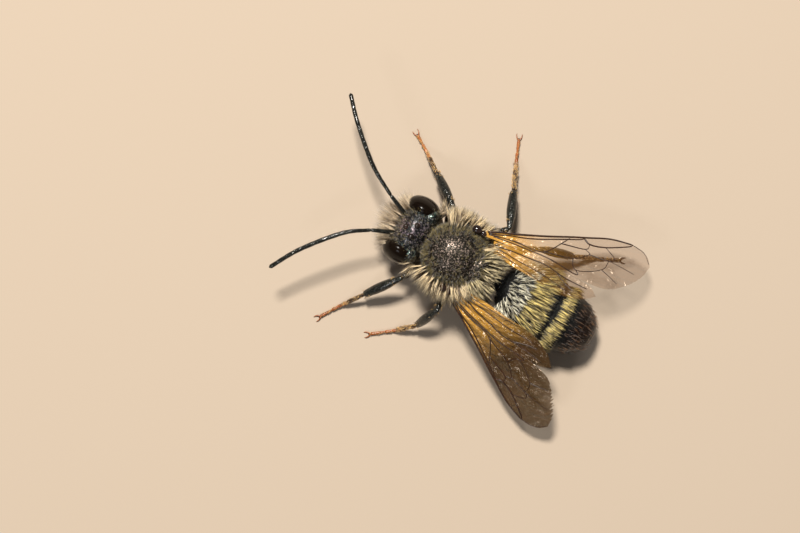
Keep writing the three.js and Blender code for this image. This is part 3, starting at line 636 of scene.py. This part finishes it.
# ---- Legs ----
# Six slim black legs, each of a thick hip joint, a thigh, a shin and a foot of five joints with
# two hooked claws; the fore and middle feet are rusty from their second joint on. Each joint is
# a swept rod that narrows where it plugs into the next, and the feet stand on the table.
# Hip, trochanter, knee and ankle of each leg, and where its heel and toe stand
LEGS = {
    "fore_left": ((0.45, -0.7, 1.35), (0.85, -0.95, 0.95), (1.95, -1.5, 1.7),
                  (3.45, -2.55, 0.75), (4.35, -3.15), (5.2, -3.66)),
    "fore_right": ((-0.45, -0.7, 1.35), (-0.85, -0.95, 0.95), (-1.75, -1.15, 1.85),
                   (-2.68, -2.5, 0.78), (-3.3, -3.42), (-3.68, -4.05)),
    "mid_left": ((0.5, 0.1, 1.3), (0.95, 0.25, 0.92), (2.35, 0.5, 2.05),
                 (3.4, 0.1, 0.7), (4.05, -0.55), (4.75, -1.4)),
    "mid_right": ((-0.5, 0.1, 1.3), (-0.95, 0.25, 0.92), (-2.2, 1.36, 1.75),
                  (-3.76, 0.7, 0.78), (-4.9, 0.18), (-5.76, -0.2)),
    "hind_left": ((0.45, 1.0, 1.35), (0.95, 1.3, 0.95), (2.0, 2.8, 1.6),
                  (2.65, 4.4, 0.78), (3.05, 5.2), (3.55, 6.2)),
    "hind_right": ((-0.45, 1.0, 1.35), (-0.95, 1.3, 0.95), (-2.1, 2.85, 1.75),
                   (-2.65, 4.4, 0.78), (-3.05, 5.2), (-3.55, 6.2)),
}
HEEL_Z, TOE_Z = 0.16, 0.085
# Half widths of the hip joint, the ring below it, the thigh and the shin, at even places
COXA, RING = (0.3, 0.28, 0.24, 0.17), (0.14, 0.17, 0.15)
THIGH, SHIN = (0.11, 0.18, 0.21, 0.19, 0.15, 0.12), (0.10, 0.14, 0.19, 0.215, 0.21, 0.18, 0.15)
# Each joint of a foot: the shares of the foot where it starts and ends, and its half sizes there
FOOT_JOINTS = ((0.0, 0.46, 0.085, 0.1), (0.46, 0.6, 0.06, 0.085), (0.6, 0.72, 0.055, 0.08),
               (0.72, 0.82, 0.05, 0.075), (0.82, 1.0, 0.04, 0.075))
FOOT_PLACES = 100
PAD_AHEAD, PAD_LOWER, PAD_HALF = 0.05, 0.02, (0.06, 0.06, 0.04)
# A claw's places from the toe: ahead, aside and up
CLAW = ((0, 0, 0), (0.12, 0.09, 0), (0.24, 0.12, -0.02), (0.3, 0.11, -0.07))
CLAW_ROOT, CLAW_TIP = 0.034, 0.006
rusty_foot = chitin("rusty_foot", (0.16, 0.035, 0.006), (0.34, 0.09, 0.014), (0.42, 0.13, 0.02),
                    gloss=(0.25, 0.45), pits=24, pit_share=0.3, depth=0.003)
dark_foot = chitin("dark_foot", (0.012, 0.007, 0.004), (0.04, 0.02, 0.008), (0.08, 0.04, 0.014),
                   gloss=(0.25, 0.42), pits=24, pit_share=0.3, depth=0.003, metallic=0.1)
# Where these two stand in a leg's list of finishes
RUSTY, DARK = 1, 2


def limb(form, start, end, sizes, sag=0.0):
    """A rod from start to end; sizes are its half widths at even places, with rounded ends."""
    line = smooth_line([start, (start + end) / 2 + UP * sag, end], 25)
    share = np.linspace(0, 1, len(line))
    size = np.interp(share, np.linspace(0, 1, len(sizes)), sizes)
    size *= np.sqrt(np.clip(1 - np.abs(2 * share - 1) ** 14, 0.04, 1))
    sweep(form, line, size, size, sides=18)


leg_lines = {}
for leg, joints in LEGS.items():
    *upper, heel, toe = joints
    hip, trochanter, knee, ankle = (Vector(joint) for joint in upper)
    heel, toe = Vector((*heel, HEEL_Z)), Vector((*toe, TOE_Z))
    leg_form = bmesh.new()
    limb(leg_form, hip, trochanter, COXA)
    limb(leg_form, trochanter.lerp(knee, -0.06), trochanter.lerp(knee, 0.14), RING)
    limb(leg_form, trochanter.lerp(knee, 0.1), knee, THIGH, sag=0.05)
    limb(leg_form, knee.lerp(ankle, -0.03), ankle, SHIN, sag=0.04)
    foot_tint = DARK if leg.startswith("hind") else RUSTY
    foot_line = smooth_line([ankle, ankle.lerp(heel, 0.5), heel, toe], FOOT_PLACES + 1)
    for start, end, root_size, end_size in FOOT_JOINTS:
        first, last = round(start * FOOT_PLACES), round(end * FOOT_PLACES)
        line = foot_line[max(first - 1, 0):last + 1]
        share = np.linspace(0, 1, len(line))
        size = root_size + (end_size - root_size) * share ** 0.8
        size[0] *= 0.6
        size[-1] *= 0.55
        sweep(leg_form, line, size, size, sides=14, tint=DARK if start == 0 else foot_tint)
    ahead = (toe - heel).normalized()
    ahead.z = 0
    aside = ahead.cross(UP).normalized()
    swelling(leg_form, toe + ahead * PAD_AHEAD - UP * PAD_LOWER, PAD_HALF, rings=8)
    for turn in (-1, 1):
        line = smooth_line([toe + ahead * on + aside * turn * out + UP * rise for on, out, rise in CLAW], 16)
        size = np.linspace(CLAW_ROOT, CLAW_TIP, len(line))
        sweep(leg_form, line, size, size, sides=8, tint=foot_tint)
    settle(f"leg_{leg}_shell", to_mesh("leg", leg_form), [black_gloss, rusty_foot, dark_foot], "cuticle",
           f"leg_{leg}_femur", f"leg_{leg}_tibia", f"leg_{leg}_tarsus")
    leg_lines[leg] = (trochanter, knee, ankle, foot_line)

# ---- Thorax ruff ----
# Long soft cream hair stands out all round the thorax and leaves the middle of its back
# bare but for a short fuzz. Hair is grown in tufts: each strand is a tapered three-sided
# blade, rooted on the skin and bent over along the lie of the coat.
ROOT_DEPTH, BLADE_TAPER, BAKE_CELL = 0.04, 0.55, 0.003
THORAX_AXIS_Z, WRAP_START, WRAP_LENGTH = 2, -3.5, 11


def strew(count, weigh, dice):
    """Places tufts on the skin, as thick as weigh says, and gives their roots and normals."""
    odds = skin_areas * weigh(skin_middles, skin_normals)
    picks = dice.choice(len(odds), count, p=odds / odds.sum())
    a, b = dice.random((2, count))
    over = a + b > 1
    a[over], b[over] = 1 - a[over], 1 - b[over]
    first, second, third = (skin_corners[picks, k] for k in range(3))
    return first + (second - first) * a[:, None] + (third - first) * b[:, None], skin_normals[picks]


def wrap_body(roots):
    """The skin unrolled round its long axis, from the head's front to the gaster's tip."""
    x, y, z = roots.T
    turn = np.arctan2(x, z - np.where(y > GASTER_START, gaster_height(y), THORAX_AXIS_Z))
    return np.stack([0.5 + turn / (2 * math.pi) * 0.98, (y - WRAP_START) / WRAP_LENGTH], axis=1)


def blade_mesh(name, verts, segments):
    """Closed three-sided blades; verts holds each one's corners, ring by ring, and then its tip."""
    count, ring_count = verts.shape[:2]
    faces = [(2, 1, 0)]
    for k in range(segments - 1):
        faces += [(3 * k + i, 3 * k + (i + 1) % 3, 3 * k + 3 + (i + 1) % 3, 3 * k + 3 + i) for i in range(3)]
    faces += [(3 * segments - 3 + i, 3 * segments - 3 + (i + 1) % 3, 3 * segments) for i in range(3)]
    order = np.array([corner for face in faces for corner in face])
    sizes = np.array([len(face) for face in faces])
    loops = (order[None, :] + ring_count * np.arange(count)[:, None]).ravel()
    starts = np.concatenate([[0], np.cumsum(np.tile(sizes, count))[:-1]])
    mesh = bpy.data.meshes.new(name)
    mesh.vertices.add(count * ring_count)
    mesh.vertices.foreach_set("co", verts.ravel())
    mesh.loops.add(len(loops))
    mesh.loops.foreach_set("vertex_index", loops)
    mesh.polygons.add(len(starts))
    mesh.polygons.foreach_set("loop_start", starts)
    mesh.update(calc_edges=True)
    mesh.validate()
    return mesh, loops


def hair(name, slot, finish, roots, normals, lie, lengths, dice, *, strands, half, rise, fall,
         splay, fray, segments=3, patch=0.035, gather=0.6, curl=0.05, unroll=wrap_body):
    """Grows a tuft of strands on every root. A strand rises from the skin and bends over to the
    lie; splay turns whole tufts and fray single strands, and gather draws a tuft's tips together."""
    count = len(roots) * strands
    tuft = np.repeat(np.arange(len(roots)), strands)
    up, along = normals[tuft], unit(lie)[tuft]
    across = unit(np.cross(up, along) + 1e-6)
    spin, out = dice.random(count) * 2 * math.pi, np.sqrt(dice.random(count)) * patch
    beside = unit(np.cross(across, up))
    offset = across * (np.cos(spin) * out)[:, None] + beside * (np.sin(spin) * out)[:, None]
    reach = (lengths[tuft] * (0.72 + 0.4 * dice.random(count)))[:, None]
    shared = dice.normal(size=(len(roots), 3))[tuft] * splay
    stray = dice.normal(size=(count, 3)) * fray
    start = unit(up * rise + along * (1 - rise) + (stray + shared) * 0.5)
    end = unit(along + up * fall + stray + shared)
    foot = roots[tuft] + offset - up * ROOT_DEPTH
    bend = roots[tuft] + start * reach * 0.5 + offset * (1 - gather * 0.5)
    tip = bend + end * reach * 0.5 - offset * gather * 0.5 + dice.normal(size=(count, 3)) * curl * reach
    ring_count = segments * 3 + 1
    verts = np.empty((count, ring_count, 3))
    t_of = np.empty(ring_count)
    roll = dice.random(count) * 2 * math.pi
    for k in range(segments + 1):
        t = k / segments
        centre = foot * (1 - t) ** 2 + bend * 2 * t * (1 - t) + tip * t * t
        if k == segments:
            verts[:, -1], t_of[-1] = centre, 1
            break
        ahead = unit((bend - foot) * (1 - t) + (tip - bend) * t)
        wide = unit(np.cross(ahead, up + 0.01))
        high = np.cross(ahead, wide)
        size = half * (1 - t) ** BLADE_TAPER
        for i in range(3):
            angle = (roll + i * 2 * math.pi / 3)[:, None]
            verts[:, 3 * k + i] = centre + size * (wide * np.cos(angle) + high * np.sin(angle))
        t_of[3 * k:3 * k + 3] = t
    mesh, loops = blade_mesh(name, verts, segments)
    shade = np.clip(0.5 + 0.36 * dice.normal(size=len(roots))[tuft] + 0.16 * dice.normal(size=count), 0, 1)
    for label, values in (("root_to_tip", np.tile(t_of, count)), ("tone", np.repeat(shade, ring_count))):
        mesh.attributes.new(label, "FLOAT", "POINT").data.foreach_set("value", values)
    bake = mesh.uv_layers.new(name="OFBake")
    cell = np.stack([np.tile([0, 0.5, 1], segments + 1)[:ring_count], t_of], axis=1) - 0.5
    flat = (unroll(roots)[tuft][:, None, :] + cell[None, :, :] * BAKE_CELL).reshape(-1, 2)
    bake.data.foreach_set("uv", flat[loops].ravel())
    settle(name, mesh, [finish], slot)


# Hair finish: dark at the root, partly the hair's own base and partly painted shade deep in the
# coat, pale at the tip, each tuft a shade of its own
strand, strand_in, strand_out = group(
    "strand", {"Root": "Color", "Dull": "Color", "Bright": "Color", "Dark share": "Float"},
    {"Color": "Color", "Roughness": "Float"})
tone = add(strand, "ShaderNodeAttribute", attribute_name="tone").outputs["Fac"]
reach = add(strand, "ShaderNodeAttribute", attribute_name="root_to_tip").outputs["Fac"]
plain = blend(strand, spread(strand, tone, 0.15, 0.85), strand_in.outputs["Dull"],
              strand_in.outputs["Bright"])
# The dark stretch from the root is partly painted shade between the tufts
off_root = spread(strand, reach, 0, strand_in.outputs["Dark share"], interpolation_type="SMOOTHSTEP")
strand.links.new(blend(strand, off_root, strand_in.outputs["Root"], plain), strand_out.inputs["Color"])
strand.links.new(spread(strand, tone, 0, 1, 0.35, 0.6), strand_out.inputs["Roughness"])


def pile(name, root, dull, bright, dark_share=0.35):
    finish, tree, shader = new_finish(name)
    shader.inputs["Sheen Weight"].default_value = 0.3
    feeds = {"Root": (*root, 1), "Dull": (*dull, 1), "Bright": (*bright, 1), "Dark share": dark_share}
    fibre = add(tree, "ShaderNodeGroup", feeds, node_tree=strand)
    tree.links.new(fibre.outputs["Color"], shader.inputs["Base Color"])
    tree.links.new(fibre.outputs["Roughness"], shader.inputs["Roughness"])
    return finish


def thorax_edge(points):
    """0 in the middle of the thorax's back, 1 at its margin."""
    return np.hypot(points[:, 0] / 1.22, (points[:, 1] + 0.08) / 1.3)


cream_hair = pile("cream_hair", (0.025, 0.015, 0.008), (0.13, 0.08, 0.032), (0.84, 0.67, 0.40), 0.4)
straw_hair = pile("straw_hair", (0.03, 0.02, 0.01), (0.14, 0.10, 0.04), (0.66, 0.55, 0.31))
THORAX_START, RUFF_SPLIT, WING_ROOT_Z = -1.42, 0.9, 2.15
RUFFS = {
    "ruff_left": (680, cream_hair, lambda p: (p[:, 0] >= 0) & (p[:, 1] < RUFF_SPLIT)),
    "ruff_right": (680, cream_hair, lambda p: (p[:, 0] < 0) & (p[:, 1] < RUFF_SPLIT)),
    "ruff_rear": (500, straw_hair, lambda p: (p[:, 1] >= RUFF_SPLIT) & (p[:, 1] < 1.8)),
}
for seed, (name, (count, finish, where)) in enumerate(RUFFS.items()):
    dice = np.random.default_rng(100 + seed)

    def weigh(points, normals, where=where):
        x, y, z = np.abs(points[:, 0]), points[:, 1], points[:, 2]
        off_back = np.clip((thorax_edge(points) - 0.86) / 0.16, 0, 1) + (z < 2.1)
        under_wing = (y > -0.35) & (y < 1.35) & (points[:, 0] < -0.9) & (z > WING_ROOT_Z)
        collar = (y < -0.9) & (x < 1.0) & (z > 1.6)
        on_thorax = (y > THORAX_START) & (y < THORAX_END)
        below = np.where(z < 1.1, 0.35, 1)
        return on_thorax * where(points) * np.clip(off_back, 0, 1) * ~under_wing * ~collar * below

    roots, normals = strew(count, weigh, dice)
    x, y, z = roots.T
    beside_wing = (y > -0.05) & (np.abs(x) > 0.9) & (z < WING_ROOT_Z)
    lift = np.where(beside_wing, -0.45, np.clip(z - 2.2, -0.6, 0.3) * 0.5)
    lie = np.stack([x * 0.9, y + 0.1, lift], axis=1)
    lie[:, 2] += 0.22 * ((x > 0.7) & (y > -0.4) & (z > WING_ROOT_Z))
    lie = unit(lie) + np.array([0, 0.25, 0])
    lengths = 0.88 - 0.3 * np.clip((1.7 - z) / 0.8, 0, 1)
    rear_lengths = 0.5 + 0.35 * np.clip((np.abs(x) - 0.2) / 0.7, 0, 1)
    lengths = np.where(y > RUFF_SPLIT, rear_lengths, lengths)
    hair(name, "pale_coat", finish, roots, normals, lie, lengths, dice, strands=7, half=0.0135,
         rise=0.45, fall=0.12, splay=0.24, fray=0.035, patch=0.034, gather=1.0, curl=0.03)

# ---- Fuzz on the thorax's back ----
# Short dull brown hair stands nearly upright over the pitted middle of the back, thin enough
# to let the shell show.
dice = np.random.default_rng(7)
brown_fuzz = pile("brown_fuzz", (0.008, 0.006, 0.003), (0.012, 0.009, 0.003), (0.23, 0.17, 0.045), 0.45)


def weigh_back(points, normals):
    edge = thorax_edge(points)
    on_thorax = (points[:, 1] > THORAX_START) & (points[:, 1] < 1.5) & (points[:, 2] > 2.2)
    return on_thorax * (0.2 + 0.8 * np.clip((edge - 0.55) / 0.4, 0, 1)) * (edge < 1.12)


roots, normals = strew(1150, weigh_back, dice)
lie = np.stack([roots[:, 0] * 0.5, 0.4 + roots[:, 1] * 0.3, np.zeros(len(roots))], axis=1)
lengths = 0.12 + 0.16 * np.clip(thorax_edge(roots) - 0.3, 0, 0.8)
hair("back_fuzz", "pale_coat", brown_fuzz, roots, normals, lie, lengths, dice, strands=4, half=0.009,
     segments=2, rise=0.9, fall=1.4, splay=0.35, fray=0.25, patch=0.05, gather=0.0)

# ---- Face beard and head hair ----
# Thin tan hair hangs forward from the face, dark hair stands on the crown, and the cheeks and
# the back of the head carry a short fringe.
dice = np.random.default_rng(11)
pale_beard = pile("pale_beard", (0.03, 0.018, 0.010), (0.22, 0.145, 0.07), (0.76, 0.61, 0.41))


def weigh_face(points, normals):
    on_head = points[:, 1] < -1.5
    front = np.clip((-normals[:, 1] - 0.25) / 0.4, 0, 1)
    return on_head * front * (np.abs(points[:, 0]) < 0.95) * np.clip((2.45 - points[:, 2]) / 0.5, 0, 1)


roots, normals = strew(250, weigh_face, dice)
lie = np.stack([roots[:, 0] * 0.7, np.full(len(roots), -1.0), -0.2 - 0.3 * (2.2 - roots[:, 2])], axis=1)
lengths = 0.55 + 0.4 * np.clip((2.4 - roots[:, 2]) / 0.9, 0, 1)
hair("face_beard", "pale_coat", pale_beard, roots, normals, lie, lengths, dice, strands=7, half=0.0085,
     rise=0.5, fall=0.1, splay=0.2, fray=0.1, patch=0.04)


def weigh_nape(points, normals):
    on_head = points[:, 1] < THORAX_START
    behind_head = np.clip((normals[:, 1] - 0.3) / 0.4, 0, 1) * (points[:, 2] > 1.0) * (points[:, 2] < 2.4)
    below = np.clip((-normals[:, 2] - 0.2) / 0.4, 0, 1)
    return on_head * np.clip(behind_head + below, 0, 1) * (np.abs(points[:, 0]) > 0.45)


roots, normals = strew(300, weigh_nape, dice)
lie = np.stack([roots[:, 0] * 0.9, (roots[:, 1] + 2.1) * 1.2, (roots[:, 2] - 2.2) * 0.8], axis=1)
hair("head_fringe", "pale_coat", pale_beard, roots, normals, lie, np.full(len(roots), 0.36), dice,
     strands=7, half=0.008, segments=2, rise=0.6, fall=0.3, splay=0.22, fray=0.1)
roots, normals = strew(300, lambda points, normals: (points[:, 1] < HEAD_END) * (points[:, 2] > 2.3), dice)
lie = np.stack([roots[:, 0] * 0.4, np.full(len(roots), -0.6), np.zeros(len(roots))], axis=1)
hair("crown_fuzz", "pale_coat", brown_fuzz, roots, normals, lie, np.full(len(roots), 0.17), dice,
     strands=3, half=0.006, segments=2, rise=0.7, fall=0.5, splay=0.3, fray=0.2)

# ---- Gaster coat ----
# The first four plates of the gaster carry bands of hair that lie backwards, the first band silvery,
# partly a painted highlight, and the others golden, with darker stripes between them. The last plates
# carry sparse rusty hair.
golden_hair = pile("golden_hair", (0.007, 0.005, 0.002), (0.06, 0.036, 0.006), (1.0, 0.80, 0.27), 0.64)
# The silver band's paler colour is partly a painted highlight on the hair
silver_hair = pile("silver_hair", (0.02, 0.015, 0.008), (0.20, 0.17, 0.10), (1.0, 0.96, 0.76), 0.42)
rusty_hair = pile("rusty_hair", (0.007, 0.004, 0.003), (0.012, 0.006, 0.003), (0.21, 0.085, 0.018), 0.62)
# Each band: its tufts, the y of its front and rear, its hair's length and finish, how far the
# hair rises and splays, and the strands in a tuft with their half width
BANDS = {
    "gaster_band_1": (480, 2.5, 3.38, 0.52, silver_hair, 0.55, 0.18, 7, 0.0085),
    "gaster_band_2": (460, 3.2, 3.9, 0.78, golden_hair, 0.34, 0.09, 7, 0.0085),
    "gaster_band_3": (370, 3.84, 4.24, 0.54, golden_hair, 0.3, 0.06, 7, 0.0085),
    "gaster_band_4": (410, 4.72, 5.1, 0.52, golden_hair, 0.3, 0.06, 7, 0.0085),
    "gaster_tip": (260, 5.5, 6.8, 0.34, rusty_hair, 0.3, 0.16, 3, 0.006),
}


def band_lie(roots, normals):
    """Backwards along the skin, drawn together a little on the last plates."""
    lie = unit(np.array([0.0, 1.0, 0.0]) - normals * normals[:, 1:2])
    lie[:, 0] -= 0.1 * roots[:, 0] * (roots[:, 1] > 5)
    return lie


for seed, (name, band) in enumerate(BANDS.items()):
    count, front, rear, length, finish, rise, splay, strands, half = band
    dice = np.random.default_rng(200 + seed)

    def weigh(points, normals, front=front, rear=rear):
        ends = np.clip((points[:, 1] - front) / 0.12, 0, 1) * np.clip((rear - points[:, 1]) / 0.1, 0, 1)
        return ends * np.where(normals[:, 2] < -0.3, 0.25, 1)

    roots, normals = strew(count, weigh, dice)
    lengths = length * (0.85 + 0.3 * dice.random(count))
    hair(name, "golden_coat", finish, roots, normals, band_lie(roots, normals), lengths, dice,
         strands=strands, half=half, rise=rise, fall=0.05, splay=splay, fray=0.02, patch=0.028, gather=1.0,
         curl=0.02)

# ---- Hair on the legs ----
# Short golden hair lies along the thighs, the shins and the upper side of each foot, thickest
# on the foot's first joint.
leg_gold = pile("leg_gold", (0.03, 0.014, 0.006), (0.20, 0.09, 0.02), (0.80, 0.50, 0.16), 0.3)
leg_tufts = []
dice = np.random.default_rng(31)
for index, (leg, (trochanter, knee, ankle, foot_line)) in enumerate(leg_lines.items()):
    foot = foot_line[::10]
    for part, (line, size, count, length) in enumerate((
            ([trochanter, trochanter.lerp(knee, 0.5), knee], 0.15, 40, 0.18),
            ([knee.lerp(ankle, 0.15), knee.lerp(ankle, 0.5), ankle], 0.17, 60, 0.13),
            (foot[:7], 0.07, 150, 0.2 if leg.startswith("mid") else 0.13),
            (foot[6:], 0.055, 60, 0.1))):
        line = np.array([tuple(point) for point in line])
        place = dice.random(count) * (len(line) - 1)
        span = np.minimum(place.astype(int), len(line) - 2)
        ahead = unit(line[span + 1] - line[span])
        centre = line[span] + (line[span + 1] - line[span]) * (place - span)[:, None]
        level = unit(np.cross(ahead, np.array([0.0, 0.0, 1.0])))
        angle = dice.random(count) * 2 * math.pi if part < 2 else dice.random(count) * math.pi
        out = level * np.cos(angle)[:, None] + np.cross(level, ahead) * np.sin(angle)[:, None]
        spot = centre + out * size
        across = (index + 0.1 + 0.8 * angle / (2 * math.pi)) / 6
        down = (part + 0.1 + 0.8 * place / (len(line) - 1)) / 4
        leg_tufts.append((spot, out, ahead, np.full(count, length), np.stack([across, down], axis=1)))
*leg_coat, leg_spots = (np.concatenate(column) for column in zip(*leg_tufts))
hair("leg_hair", "golden_coat", leg_gold, *leg_coat, dice, strands=4, half=0.007, segments=2,
     rise=0.35, fall=0.2, splay=0.15, fray=0.1, patch=0.03, unroll=lambda roots: leg_spots)
